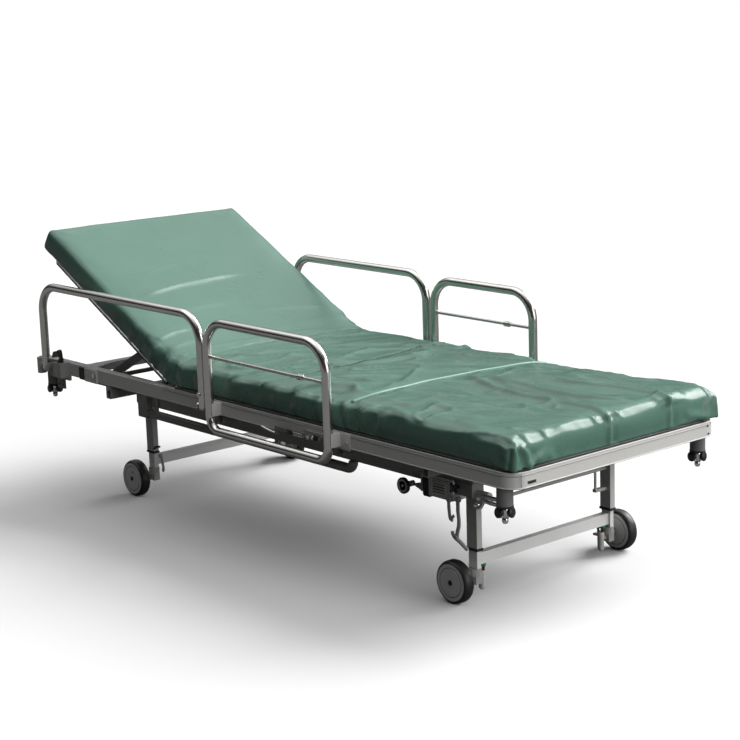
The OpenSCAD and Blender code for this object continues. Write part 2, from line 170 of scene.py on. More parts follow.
def make_floor():
    """Pale floor, lighter to the camera than to the rays that light the trolley."""
    mesh = bpy.data.meshes.new("floor")
    r = 60.0
    mesh.from_pydata(
        [(-r, -r, 0), (r, -r, 0), (r, r, 0), (-r, r, 0)], [], [(0, 1, 2, 3)]
    )
    floor = bpy.data.objects.new("floor", mesh)
    scene.collection.objects.link(floor)
    mat = bpy.data.materials.new("floor")
    mat.use_nodes = True
    tree = mat.node_tree
    tree.nodes.clear()
    tones = []
    for level in FLOOR_TONES:
        tone = tree.nodes.new("ShaderNodeBsdfDiffuse")
        tone.inputs["Color"].default_value = (level, level, level, 1)
        tones.append(tone)
    by_ray(tree, "ShaderNodeOutputMaterial", *tones)
    mesh.materials.append(mat)


make_camera()
make_world()
make_floor()
make_sun("key", (0.20, 1.0, 0.76), 42, 4.2)
make_sun("overhead", (-0.45, -0.12, 1.0), 50, 0.35)
make_sun("foot_fill", (1.0, 0.30, 0.28), 45, 1.0)


# ---------------------------------------------------------------- materials
class Shade:
    """Node helper for one procedural material."""

    def __init__(self, name):
        self.mat = bpy.data.materials.new(name)
        self.mat.use_nodes = True
        self.tree = self.mat.node_tree
        self.bsdf = self.tree.nodes["Principled BSDF"]
        self.coord = self.tree.nodes.new("ShaderNodeTexCoord")
        self.bumps = None

    def add(self, kind, **values):
        node = self.tree.nodes.new(kind)
        for key, value in values.items():
            node.inputs[key].default_value = value
        return node

    def place(self, stretch=(1, 1, 1)):
        node = self.add("ShaderNodeMapping")
        node.inputs["Scale"].default_value = stretch
        self.tree.links.new(self.coord.outputs["Object"], node.inputs["Vector"])
        return node.outputs["Vector"]

    def noise(self, scale, detail=3.0, rough=0.55, stretch=(1, 1, 1)):
        node = self.add("ShaderNodeTexNoise", Scale=scale, Detail=detail, Roughness=rough)
        self.tree.links.new(self.place(stretch), node.inputs["Vector"])
        return node.outputs["Fac"]

    def cells(self, scale):
        node = self.add("ShaderNodeTexVoronoi", Scale=scale)
        node.feature = "DISTANCE_TO_EDGE"
        self.tree.links.new(self.place(), node.inputs["Vector"])
        return node.outputs["Distance"]

    def between(self, fac, low, high):
        node = self.add("ShaderNodeMapRange")
        node.inputs["From Min"].default_value = 0.3
        node.inputs["From Max"].default_value = 0.7
        node.inputs["To Min"].default_value = low
        node.inputs["To Max"].default_value = high
        self.tree.links.new(fac, node.inputs["Value"])
        return node.outputs["Result"]

    def tint(self, fac, dark, light, start=0.3, end=0.7):
        node = self.add("ShaderNodeValToRGB")
        node.color_ramp.elements[0].position = start
        node.color_ramp.elements[0].color = (*dark, 1)
        node.color_ramp.elements[1].position = end
        node.color_ramp.elements[1].color = (*light, 1)
        self.tree.links.new(fac, node.inputs["Fac"])
        return node.outputs["Color"]

    def bump(self, height, strength, distance):
        node = self.add("ShaderNodeBump", Strength=strength, Distance=distance)
        self.tree.links.new(height, node.inputs["Height"])
        if self.bumps:
            self.tree.links.new(self.bumps, node.inputs["Normal"])
        self.bumps = node.outputs["Normal"]

    def finish(self, colour, rough, **sockets):
        self.tree.links.new(colour, self.bsdf.inputs["Base Color"])
        self.tree.links.new(rough, self.bsdf.inputs["Roughness"])
        if self.bumps:
            self.tree.links.new(self.bumps, self.bsdf.inputs["Normal"])
        for key, value in sockets.items():
            self.bsdf.inputs[key.replace("_", " ")].default_value = value
        return self.mat


def vinyl(name="green_vinyl", dark=(0.071, 0.150, 0.116), light=(0.083, 0.174, 0.136)):
    s = Shade(name)
    s.bump(s.noise(60, 2, 0.5), 0.05, 0.0010)
    s.bump(s.cells(900), 0.02, 0.0001)
    colour = s.tint(s.noise(2.2, 5, 0.6), dark, light)
    return s.finish(colour, s.between(s.noise(11, 5), 0.25, 0.34), IOR=1.42)


def paint(name, dark, light, rough):
    s = Shade(name)
    s.bump(s.noise(520, 2), 0.03, 0.0003)
    s.bump(s.noise(26, 3), 0.03, 0.001)
    colour = s.tint(s.noise(5, 7, 0.68), dark, light, 0.25, 0.75)
    return s.finish(colour, s.between(s.noise(48, 4), rough - 0.06, rough + 0.08))


def metal(name, dark, light, rough, stretch=(1, 1, 1)):
    s = Shade(name)
    s.bump(s.noise(90, 2, 0.5, stretch), 0.012, 0.0003)
    colour = s.tint(s.noise(4, 5, 0.6), dark, light)
    return s.finish(
        colour, s.between(s.noise(60, 4, 0.6, stretch), rough - 0.03, rough + 0.06),
        Metallic=1.0,
    )


def plastic(name, dark, light, rough, grain):
    s = Shade(name)
    s.bump(s.noise(grain, 3), 0.10, 0.0004)
    colour = s.tint(s.noise(14, 5), dark, light)
    return s.finish(colour, s.between(s.noise(60, 4), rough - 0.06, rough + 0.08))


M = {
    "vinyl": vinyl(),
    # welt: green painted lighter than the cover, a painted highlight on the raised bead
    "welt": vinyl("green_welt_painted_highlight", (0.17, 0.30, 0.24), (0.20, 0.34, 0.28)),
    "seam": vinyl("green_seam", (0.018, 0.050, 0.038), (0.026, 0.066, 0.050)),
    "pale": paint("pale_paint", (0.52, 0.515, 0.50), (0.575, 0.57, 0.555), 0.36),
    "rail": paint("rail_paint", (0.50, 0.495, 0.475), (0.55, 0.545, 0.525), 0.36),
    "leg": paint("leg_paint", (0.40, 0.40, 0.39), (0.46, 0.46, 0.45), 0.36),
    "post": paint("post_paint", (0.62, 0.62, 0.61), (0.70, 0.70, 0.69), 0.34),
    "grey": paint("grey_paint", (0.26, 0.26, 0.25), (0.31, 0.31, 0.30), 0.38),
    "deep": paint("deep_grey_paint", (0.13, 0.13, 0.127), (0.165, 0.165, 0.16), 0.36),
    "steel": metal("bright_steel", (0.60, 0.585, 0.56), (0.70, 0.685, 0.66), 0.20),
    "chrome": metal("chrome", (0.74, 0.74, 0.74), (0.82, 0.82, 0.82), 0.10),
    "rubber": plastic("black_rubber", (0.010, 0.010, 0.010), (0.018, 0.018, 0.018), 0.6, 500),
    "black": plastic("black_plastic", (0.008, 0.008, 0.009), (0.015, 0.015, 0.016), 0.34, 700),
    "tyre": plastic("tyre_rubber", (0.008, 0.008, 0.008), (0.014, 0.014, 0.014), 0.42, 900),
    "hub": plastic("hub_plastic", (0.56, 0.56, 0.555), (0.64, 0.64, 0.635), 0.34, 600),
    "green": plastic("green_plastic", (0.010, 0.16, 0.05), (0.015, 0.22, 0.07), 0.30, 600),
    "red": plastic("red_plastic", (0.35, 0.02, 0.015), (0.45, 0.03, 0.02), 0.30, 600),
}
SLOT_LOOK = {
    "pale_paint": "pale", "grey_paint": "grey", "bright_steel": "steel",
    "black_rubber": "rubber", "black_plastic": "black", "tyre": "tyre",
    "hub_grey": "hub", "green_cover": "vinyl",
}
# CAD parts whose look differs from the one of their material slot
NODE_LOOK = {
    "deck_frame": "rail", "loop_guides": "rail", "guard_bars": "grey", "leg_sleeves": "leg",
    "lift_shaft": "leg", "control_rod": "leg", "release_lever": "leg", "foot_pedal": "leg",
    "pole_sockets": "leg", "gearbox": "post", "gearbox_vents": "post", "foot_posts": "post",
    "head_posts": "post", "corner_stubs": "deep", "latch_near": "deep", "latch_far": "deep",
    "back_prop": "deep", "corner_yokes": "chrome", "control_knob": "hub",
}


def dress_cad():
    """Materials, softened edges and smooth shading for the CAD parts that stay."""
    slots = {s["node"]: s["material_slot"] for s in frame["record"]["subparts"]}
    for name, obj in nodes.items():
        look = M[NODE_LOOK.get(name, SLOT_LOOK[slots[name]])]
        if not obj.material_slots:
            obj.data.materials.append(look)
        for entry in obj.material_slots:
            entry.material = look
        for polygon in obj.data.polygons:
            polygon.use_smooth = True
        if "custom_normal" in obj.data.attributes:
            obj.data.attributes.remove(obj.data.attributes["custom_normal"])
        weld = obj.modifiers.new("weld", "WELD")
        weld.merge_threshold = WELD
        bevel = obj.modifiers.new("bevel", "BEVEL")
        bevel.width = EDGE_BEVEL
        bevel.segments = 2
        bevel.limit_method = "ANGLE"
        bevel.angle_limit = math.radians(40)
        bevel.harden_normals = True
        bevel.use_clamp_overlap = True


dress_cad()


# ---------------------------------------------------------------- piece helpers
def to_object(name, mesh, body, look):
    """Put a mesh in the scene, dressed and riding on its body."""
    obj = bpy.data.objects.new(name, mesh)
    scene.collection.objects.link(obj)
    mesh.materials.append(M[look])
    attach(obj, body)
    return obj


def circle(centre, radius, side, top, sides):
    """Points of a circle round centre in the plane of side and top."""
    turns = (2 * math.pi * k / sides for k in range(sides))
    return [centre + radius * (math.cos(t) * side + math.sin(t) * top) for t in turns]


def skin(bm, rings):
    """Faces between neighbouring rings of vertices, and a cap on both ends."""
    sides = len(rings[0])
    for one, two in zip(rings, rings[1:]):
        for k in range(sides):
            bm.faces.new((one[k], one[(k + 1) % sides], two[(k + 1) % sides], two[k]))
    bm.faces.new(rings[0][::-1])
    bm.faces.new(rings[-1])
    bmesh.ops.recalc_face_normals(bm, faces=bm.faces)


def sweep(name, points, radius, body, look, sides):
    """Round bar along a polyline that is nowhere upright."""
    pts = [Vector(p) for p in points]
    bm = bmesh.new()
    rings = []
    for i, p in enumerate(pts):
        tangent = (pts[min(i + 1, len(pts) - 1)] - pts[max(i - 1, 0)]).normalized()
        side = tangent.cross(Vector((0, 0, 1)))
        side.normalize()
        top = side.cross(tangent)
        rings.append([bm.verts.new(at) for at in circle(p, radius, side, top, sides)])
    skin(bm, rings)
    mesh = bpy.data.meshes.new(name)
    bm.to_mesh(mesh)
    bm.free()
    mesh.polygons.foreach_set("use_smooth", [True] * len(mesh.polygons))
    to_object(name, mesh, body, look)


# ---------------------------------------------------------------- mattress
def lattice_noise(x, y, scale, seed):
    """Smooth value noise in the range -1 to 1 on a plane."""
    rng = np.random.RandomState(seed)
    table = rng.uniform(-1, 1, (64, 64))
    u, v = x * scale + 17.3, y * scale + 9.1
    i, j = np.floor(u).astype(int), np.floor(v).astype(int)
    fu, fv = u - i, v - j
    fu, fv = fu * fu * fu * (fu * (6 * fu - 15) + 10), fv * fv * fv * (fv * (6 * fv - 15) + 10)
    a = table[i % 64, j % 64]
    b = table[(i + 1) % 64, j % 64]
    c = table[i % 64, (j + 1) % 64]
    d = table[(i + 1) % 64, (j + 1) % 64]
    return (a * (1 - fu) + b * fu) * (1 - fv) + (c * (1 - fu) + d * fu) * fv


def smooth(t):
    t = np.clip(t, 0, 1)
    return t * t * (3 - 2 * t)


def ridge(x, y, points, width, height, head=0.15, tail=0.12):
    """Rounded ridge along a polyline that fades in over head and out over tail."""
    lengths = [math.dist(points[k], points[k + 1]) for k in range(len(points) - 1)]
    total, run = sum(lengths), 0.0
    best = np.full_like(x, 1e9)
    where = np.zeros_like(x)
    for k, length in enumerate(lengths):
        (ax, ay), (bx, by) = points[k], points[k + 1]
        dx, dy = bx - ax, by - ay
        t = np.clip(((x - ax) * dx + (y - ay) * dy) / length**2, 0, 1)
        d = np.hypot(x - ax - t * dx, y - ay - t * dy)
        near = d < best
        best = np.where(near, d, best)
        where = np.where(near, (run + t * length) / total, where)
        run += length
    fade = smooth(where / head) if head else 1.0
    fade = fade * (smooth((1 - where) / tail) if tail else 1.0)
    return height * np.exp(-((best / width) ** 1.6)) * fade


# The cover laid flat: its ends, half width, edge radii and grid
HEAD = -1.072
FOOT = 1.046
HALF = 0.3575
EDGE_R = 0.016
SOLE_R = 0.007
GRID_STEP = 0.0115
# Where it bends over the hinge, and over what length
BEND_X = -0.340
BEND_LENGTH = 0.09
# Room left for the cloth simulation, its frames, what it holds and how far it may swell
SWELL = 0.003
CLOTH_FRAMES = 18
HELD_HEIGHT = 0.004
BACKREST_X = -0.42
BACK_CAP, SEAT_CAP = 0.0035, 0.0065
# Seams down the foot end, and the welt and stitch line across the top
SEAM_A, SEAM_B = -0.030, 0.190
WELT = [
    (0.441, -0.345), (0.450, -0.248), (0.441, -0.078), (0.449, 0.081), (0.466, 0.235),
    (0.474, 0.352),
]
STITCH = [(0.118, -0.30), (0.112, 0.0), (0.105, 0.087), (0.087, 0.191), (0.070, 0.345)]


def cover_grid(step):
    """Box grid of the cover laid flat: x along the bed, y across, z up from the underside."""
    nx = round((FOOT - HEAD) / step)
    ny = round(2 * HALF / step)
    nz = round(PAD / step) + 1
    index, coords, faces = {}, [], []

    def vertex(i, j, k):
        key = (i, j, k)
        if key not in index:
            index[key] = len(coords)
            coords.append((i / nx, j / ny, k / nz))
        return index[key]

    def side(quads, flip):
        for quad in quads:
            ids = [vertex(*corner) for corner in quad]
            faces.append(ids[::-1] if flip else ids)

    for k in (0, nz):
        side([
            ((i, j, k), (i + 1, j, k), (i + 1, j + 1, k), (i, j + 1, k))
            for i in range(nx) for j in range(ny)
        ], k == 0)
    for j in (0, ny):
        side([
            ((i, j, k), (i + 1, j, k), (i + 1, j, k + 1), (i, j, k + 1))
            for i in range(nx) for k in range(nz)
        ], j > 0)
    for i in (0, nx):
        side([
            ((i, j, k), (i, j + 1, k), (i, j + 1, k + 1), (i, j, k + 1))
            for j in range(ny) for k in range(nz)
        ], i == 0)
    unit = np.array(coords)
    box = np.empty_like(unit)
    box[:, 0] = HEAD + unit[:, 0] * (FOOT - HEAD)
    box[:, 1] = (unit[:, 1] * 2 - 1) * HALF
    box[:, 2] = unit[:, 2] * PAD
    return box, faces


def edge_frame(box):
    """Core point and outward direction of every point; the sole's edges are much tighter."""
    x, y, z = box.T
    r = SOLE_R + (EDGE_R - SOLE_R) * smooth((z / PAD - 0.12) / 0.6)
    core = np.stack([
        np.clip(x, HEAD + r, FOOT - r),
        np.clip(y, -HALF + r, HALF - r),
        np.clip(z, SOLE_R, PAD - EDGE_R),
    ], axis=1)
    gap = box - core
    out = gap / np.maximum(np.linalg.norm(gap, axis=1, keepdims=True), 1e-9)
    return core, gap, out


def round_box(box):
    """Rounded, slightly small and bellied cushion form, still lying flat."""
    core, gap, out = edge_frame(box)
    longest = np.abs(gap).max(axis=1, keepdims=True)
    form = core + out * longest - out * SWELL
    x, y, z = box.T
    belly = 0.007 * np.sin(math.pi * z / PAD) ** 0.7 * np.hypot(out[:, 0], out[:, 1])
    form[:, :2] += out[:, :2] * belly[:, None]
    crown = 0.005 * (1 - (y / HALF) ** 4) * np.maximum(out[:, 2], 0) * smooth((x + 0.5) / 0.2)
    form[:, 2] += crown
    share = np.abs(y) / HALF
    far = 0.010 * smooth(x / 0.8) + 0.016 * smooth((x - 0.80) / 0.24)
    near = 0.006 * smooth(x / 0.8) + 0.004 * smooth((x - 0.80) / 0.24)
    form[:, 1] += share * np.where(y > 0, far, -near)
    return form


RIDGES = [
    # points, width, height, fade in, fade out
    ([(0.477, 0.029), (0.592, -0.007), (0.70, -0.030), (0.85, -0.020), (0.93, -0.022),
      (1.05, SEAM_A)], 0.0080, 0.0095, 0.12, 0),
    ([(0.509, 0.057), (0.66, 0.060), (0.81, 0.052), (0.874, 0.055), (0.925, 0.066), (1.02, 0.110)],
     0.0090, 0.0085, 0.12, 0.18),
    ([(0.66, 0.150), (0.744, 0.151), (0.841, 0.175), (0.89, 0.188), (0.95, 0.192), (1.05, SEAM_B)],
     0.0085, 0.0088, 0.18, 0),
    ([(0.53, 0.040), (0.66, 0.015), (0.82, 0.014), (0.96, 0.020)], 0.016, -0.0085, 0.2, 0.2),
    ([(0.56, 0.105), (0.70, 0.105), (0.86, 0.115), (0.97, 0.140)], 0.020, -0.0070, 0.2, 0.2),
    ([(0.55, -0.060), (0.70, -0.075), (0.86, -0.070), (0.97, -0.075)], 0.022, -0.0070, 0.2, 0.2),
    ([(0.69, 0.215), (0.82, 0.235), (0.95, 0.240)], 0.020, -0.0040, 0.2, 0.2),
    ([(0.566, -0.20), (0.67, -0.21), (0.76, -0.172)], 0.012, 0.0045, 0.2, 0.2),
    ([(0.631, -0.245), (0.746, -0.258), (0.86, -0.258)], 0.012, 0.0040, 0.2, 0.2),
    ([(0.60, -0.125), (0.746, -0.135), (0.88, -0.118)], 0.011, 0.0035, 0.2, 0.2),
    ([(0.50, -0.150), (0.58, -0.150), (0.66, -0.130)], 0.010, 0.0040, 0.2, 0.2),
    ([(0.637, 0.235), (0.702, 0.235), (0.803, 0.270)], 0.013, 0.0040, 0.2, 0.2),
    ([(0.50, 0.16), (0.57, 0.175), (0.63, 0.17)], 0.012, 0.0035, 0.2, 0.2),
    ([(0.488, 0.27), (0.55, 0.30), (0.62, 0.31)], 0.010, 0.0045, 0.2, 0.2),
    ([(0.56, -0.338), (0.67, -0.335), (0.74, -0.318), (0.86, -0.318), (0.97, -0.335)],
     0.018, 0.0050, 0.1, 0.3),
    ([(0.20, -0.345), (0.26, -0.29), (0.34, -0.26), (0.42, -0.262)], 0.014, 0.0065, 0.1, 0.25),
    ([(0.16, -0.30), (0.22, -0.24), (0.30, -0.20), (0.39, -0.17)], 0.012, 0.0055, 0.2, 0.25),
    ([(0.20, -0.20), (0.28, -0.12), (0.37, -0.07)], 0.013, 0.0045, 0.2, 0.25),
    ([(0.15, -0.08), (0.24, 0.00), (0.33, 0.06)], 0.013, 0.0040, 0.2, 0.25),
    ([(0.234, 0.10), (0.32, 0.14), (0.40, 0.18)], 0.012, 0.0040, 0.2, 0.25),
    ([(0.216, 0.20), (0.31, 0.235), (0.42, 0.28)], 0.012, 0.0040, 0.2, 0.25),
    ([(0.27, -0.345), (0.31, -0.315), (0.37, -0.30)], 0.010, -0.0070, 0.1, 0.25),
    ([(0.46, -0.345), (0.50, -0.30), (0.56, -0.27)], 0.010, 0.0060, 0.1, 0.25),
    ([(0.53, -0.345), (0.56, -0.31), (0.61, -0.29)], 0.010, -0.0055, 0.1, 0.25),
    ([(-0.02, -0.34), (0.03, -0.22), (0.02, -0.08), (0.04, 0.06)], 0.015, 0.0045, 0.15, 0.3),
    ([(-0.10, -0.34), (-0.09, -0.18), (-0.10, 0.00)], 0.016, 0.0040, 0.15, 0.3),
    ([(-0.19, -0.345), (-0.20, -0.16), (-0.19, 0.05), (-0.17, 0.24)], 0.014, 0.0050, 0.1, 0.3),
    ([(-0.16, 0.02), (-0.08, 0.12), (0.00, 0.25)], 0.014, 0.0035, 0.2, 0.3),
    ([(-0.306, -0.30), (-0.321, -0.07), (-0.308, 0.156), (-0.292, 0.330)],
     0.012, -0.0060, 0.12, 0.1),
    ([(-0.270, -0.34), (-0.282, -0.07), (-0.272, 0.156), (-0.262, 0.320)],
     0.016, 0.0040, 0.12, 0.2),
    ([(-0.345, -0.345), (-0.360, -0.18), (-0.355, 0.02), (-0.345, 0.24)],
     0.014, 0.0040, 0.05, 0.3),
    ([(-0.400, -0.345), (-0.425, -0.22), (-0.430, -0.08)], 0.014, 0.0034, 0.05, 0.35),
    ([(-0.455, -0.345), (-0.475, -0.27), (-0.480, -0.18)], 0.012, 0.0040, 0.05, 0.4),
    ([(-0.660, -0.29), (-0.690, -0.12), (-0.700, 0.06), (-0.698, 0.20)], 0.013, 0.0045, 0.2, 0.35),
    ([(-0.760, -0.26), (-0.800, -0.06), (-0.812, 0.12)], 0.016, 0.0022, 0.3, 0.4),
    ([(-0.560, -0.25), (-0.575, -0.10), (-0.570, 0.05)], 0.016, 0.0020, 0.3, 0.4),
    ([(-0.520, 0.02), (-0.500, 0.18), (-0.470, 0.32)], 0.018, 0.0022, 0.3, 0.3),
]
PLEATS = [
    # distance round the corner against height, width, height of the fold
    ([(-0.004, 0.068), (-0.007, 0.036), (-0.012, -0.005)], 0.0045, -0.0060),
    ([(0.008, 0.070), (0.014, 0.045), (0.008, -0.005)], 0.0060, 0.0045),
    ([(0.018, 0.066), (0.034, 0.040), (0.042, -0.005)], 0.0050, -0.0050),
    ([(0.026, 0.066), (0.050, 0.046), (0.060, -0.005)], 0.0065, 0.0070),
    ([(0.050, 0.062), (0.072, 0.036), (0.082, -0.005)], 0.0080, -0.0030),
    ([(-0.022, 0.066), (-0.024, -0.005)], 0.0070, 0.0030),
    ([(-0.046, 0.060), (-0.050, -0.005)], 0.0060, -0.0022),
]
GATHERS = [
    # place along the near side, lean, width, height
    (0.150, 0.01, 0.016, 0.0045), (0.205, 0.02, 0.012, -0.0050), (0.245, 0.02, 0.014, 0.0060),
    (0.300, 0.01, 0.010, -0.0065), (0.335, -0.01, 0.010, 0.0060), (0.368, -0.02, 0.007, -0.0060),
    (0.392, -0.02, 0.008, 0.0070), (0.420, -0.02, 0.007, -0.0065), (0.450, -0.01, 0.010, 0.0060),
    (0.482, 0.00, 0.008, -0.0055), (0.512, 0.01, 0.010, 0.0060), (0.548, 0.02, 0.010, -0.0060),
    (0.585, 0.02, 0.013, 0.0050), (0.640, 0.02, 0.014, -0.0035), (0.880, 0.00, 0.006, 0.0020),
    (0.060, 0.01, 0.018, -0.0035), (-0.010, 0.00, 0.020, 0.0035), (-0.090, 0.00, 0.020, -0.0035),
    (-0.160, -0.01, 0.018, 0.0040), (-0.235, -0.01, 0.014, -0.0045), (-0.285, 0.00, 0.012, 0.0050),
    (-0.325, 0.00, 0.008, -0.0060), (-0.360, 0.01, 0.010, 0.0060), (-0.400, 0.02, 0.008, -0.0050),
    (-0.435, 0.02, 0.012, 0.0050), (-0.490, 0.02, 0.012, -0.0035), (-0.545, 0.02, 0.016, 0.0030),
    (-0.640, 0.01, 0.020, 0.0020),
]


def top_relief(x, y):
    """Wrinkle height of the top face."""
    seat = smooth((x + 0.36) / 0.20)
    legs = smooth((x - 0.46) / 0.06)
    warp = 0.04 * lattice_noise(x, y, 6, 3)
    u, v = (x + y) * 0.7071 + warp, (x - y) * 0.7071 - warp
    wide = lattice_noise(x, y, 5, 11) * 0.0030
    slant = 1 - np.abs(lattice_noise(u * 0.36, v, 17, 7))
    along = 1 - np.abs(lattice_noise(x * 0.30 + warp, y + 0.5 * warp, 22, 5))
    fine = lattice_noise(u * 0.5, v, 42, 13) * 0.0009
    h = seat * (wide + fine)
    h = h + seat * (1 - legs) * 0.0085 * (slant**5 - 0.26)
    h = h + seat * legs * 0.0056 * (along**5 - 0.26)
    h = h + (1 - seat) * 0.0011 * lattice_noise(x * 1.4, y * 0.7, 7, 17)
    h = h * (1 - ridge(x, y, WELT, 0.024, 0.9, 0, 0))
    for points, width, height, head, tail in RIDGES:
        h = h + ridge(x, y, points, width, height, head, tail)
    h = h - ridge(x, y, WELT, 0.016, 0.0035, 0, 0)
    h = h - ridge(x, y, STITCH, 0.0060, 0.0022, 0.1, 0.02)
    return h


def side_relief(x, z):
    """Upright folds of the long sides."""
    h = 0.0016 * lattice_noise(x, z * 1.2, 15, 29)
    for place, lean, width, height in GATHERS:
        h = h + height * np.exp(-(((x - place - lean * (z / PAD - 0.5)) / width) ** 2))
    return h * (0.45 + 0.55 * smooth(z / 0.05))


def end_relief(y, z):
    """Two seams down the foot end."""
    h = 0.0012 * lattice_noise(y, z * 2, 12, 31)
    for place in (SEAM_A, SEAM_B):
        h = h + 0.0052 * np.exp(-(((y - place) / 0.0055) ** 2))
        h = h - 0.0030 * np.exp(-(((y - place - 0.016) / 0.010) ** 2))
    return h


def relief(box, form):
    """Outward height of every wrinkle, seam and pleat."""
    x, y, z = box.T
    out = edge_frame(box)[2]
    top = smooth(np.clip(out[:, 2], 0, 1) * 1.4)
    flank = smooth(np.abs(out[:, 1]) * 1.25)
    tip = smooth(np.clip(out[:, 0], 0, 1) * 1.25)
    h = top * top_relief(form[:, 0], form[:, 1])
    folds = np.where(y < 0, side_relief(x, z), side_relief(x + 0.013, z) * 0.7)
    h += flank * (1 - 0.5 * top) * folds
    h += tip * end_relief(form[:, 1], z)
    for side, share in ((-1, 1.0), (1, 0.7)):
        round_corner = (x - FOOT) + (HALF - side * y)
        at_corner = smooth((x - FOOT + 0.14) / 0.04) * smooth((side * y - HALF + 0.14) / 0.04)
        at_corner *= np.clip(np.maximum(flank, tip), 0, 1) * smooth((1.02 - out[:, 2]) * 3)
        for points, width, height in PLEATS:
            h += share * at_corner * ridge(round_corner, z, points, width, height, 0.08, 0)
    return h * (out[:, 2] > -0.6)


def bend_up(form):
    """Carry the flat cover over the backrest hinge."""
    width = BEND_LENGTH
    mid = 0.5 * PAD
    s = BEND_X - form[:, 0]
    t = np.clip(s / width + 0.5, 0, 1)
    angle = BACK_ANGLE * t
    radius = width / BACK_ANGLE
    start = BEND_X + width / 2
    past = np.maximum(s - width / 2, 0)
    before = np.minimum(s + width / 2, 0)
    cx = start - radius * np.sin(angle) - past * math.cos(BACK_ANGLE) - before
    cz = mid + radius * (1 - np.cos(angle)) + past * math.sin(BACK_ANGLE)
    h = form[:, 2] - mid
    x = cx + h * np.sin(angle)
    z = cz + h * np.cos(angle)
    return np.stack([x, form[:, 1], z + DECK_TOP + 0.0005], axis=1)


def read_vectors(items, name):
    """One vector per mesh item, as rows."""
    flat = np.empty(len(items) * 3)
    items.foreach_get(name, flat)
    return flat.reshape(-1, 3)


def read_mesh(obj):
    """Points of obj with its modifiers, and the evaluated mesh."""
    mesh = bpy.data.meshes.new_from_object(
        obj.evaluated_get(bpy.context.evaluated_depsgraph_get())
    )
    return read_vectors(mesh.vertices, "co"), mesh


def swell(obj, rest, box):
    """Blow the cover up with a cloth simulation; no point may move further than the cap."""
    group = obj.vertex_groups.new(name="held")
    under = np.nonzero(box[:, 2] < HELD_HEIGHT)[0]
    group.add(under.tolist(), 1.0, "REPLACE")
    cloth = obj.modifiers.new("cloth", "CLOTH")
    cloth.settings.quality = 4
    cloth.settings.mass = 0.4
    cloth.settings.tension_stiffness = 12
    cloth.settings.compression_stiffness = 12
    cloth.settings.shear_stiffness = 6
    cloth.settings.bending_stiffness = 0.4
    cloth.settings.shrink_min = -0.035
    cloth.settings.vertex_group_mass = "held"
    cloth.settings.use_pressure = True
    cloth.settings.uniform_pressure_force = 4
    cloth.settings.effector_weights.gravity = 0
    cloth.collision_settings.use_collision = False
    for number in range(1, CLOTH_FRAMES + 1):
        scene.frame_set(number)
    moved, mesh = read_mesh(obj)
    bpy.data.meshes.remove(mesh)
    obj.modifiers.remove(cloth)
    obj.vertex_groups.clear()
    scene.frame_set(1)
    push = moved - rest
    cap = np.where(box[:, 0] < BACKREST_X, BACK_CAP, SEAT_CAP)
    size = np.linalg.norm(push, axis=1)
    push *= (np.minimum(size, cap) / np.maximum(size, 1e-9))[:, None]
    return rest + push


def make_mattress():
    """Build the cover and return its points."""
    box, faces = cover_grid(GRID_STEP)
    rest = bend_up(round_box(box))
    mesh = bpy.data.meshes.new("mattress_cover")
    mesh.from_pydata(rest.tolist(), [], faces)
    obj = bpy.data.objects.new("mattress_cover", mesh)
    scene.collection.objects.link(obj)
    shape = swell(obj, rest, box)
    mesh.vertices.foreach_set("co", shape.ravel())
    laid = mesh.attributes.new("laid", "FLOAT_VECTOR", "POINT")
    laid.data.foreach_set("vector", box.ravel())
    mesh.update()
    finer = obj.modifiers.new("finer", "SUBSURF")
    finer.levels = finer.render_levels = 1
    points, fine = read_mesh(obj)
    obj.modifiers.remove(finer)
    laid = read_vectors(fine.attributes["laid"].data, "vector")
    normals = read_vectors(fine.vertices, "normal")
    points = points + normals * relief(laid, round_box(laid))[:, None]
    fine.vertices.foreach_set("co", points.ravel())
    fine.attributes.remove(fine.attributes["laid"])
    fine.polygons.foreach_set("use_smooth", [True] * len(fine.polygons))
    fine.update()
    obj.data = fine
    fine.materials.append(M["vinyl"])
    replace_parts(obj, "seat_mattress", "back_mattress")
    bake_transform(obj)
    return points


def on_cover(points, cover):
    """Lift flat points onto the cover's top."""
    out = []
    upper = cover[cover[:, 2] > 0.44]
    for x, y in points:
        gap = np.hypot(upper[:, 0] - x, upper[:, 1] - y)
        close = np.argsort(gap)[:6]
        out.append((x, y, float(upper[close, 2].max())))
    return out


def resample(points, count, rounds=3):
    """Evenly spaced points along a polyline, softened at its corners."""
    pts = np.array(points, float)
    run = np.concatenate([[0], np.cumsum(np.linalg.norm(np.diff(pts, axis=0), axis=1))])
    where = np.linspace(0, run[-1], count)
    out = np.stack([np.interp(where, run, pts[:, k]) for k in range(pts.shape[1])], axis=1)
    for _ in range(rounds):
        out[1:-1] = (out[:-2] + 2 * out[1:-1] + out[2:]) / 4
    return out


cover = make_mattress()
for name, line, rounds, radius, look, sides in (
    # the welt's lighter green is a painted highlight
    ("mattress_welt", WELT, 14, 0.0044, "welt", 8),
    ("mattress_stitch", STITCH, 8, 0.0011, "seam", 6),
):
    path = on_cover(resample(line, 60)[1:-1], cover)
    sweep(name, resample(path, 90, rounds), radius, "deck", look, sides)


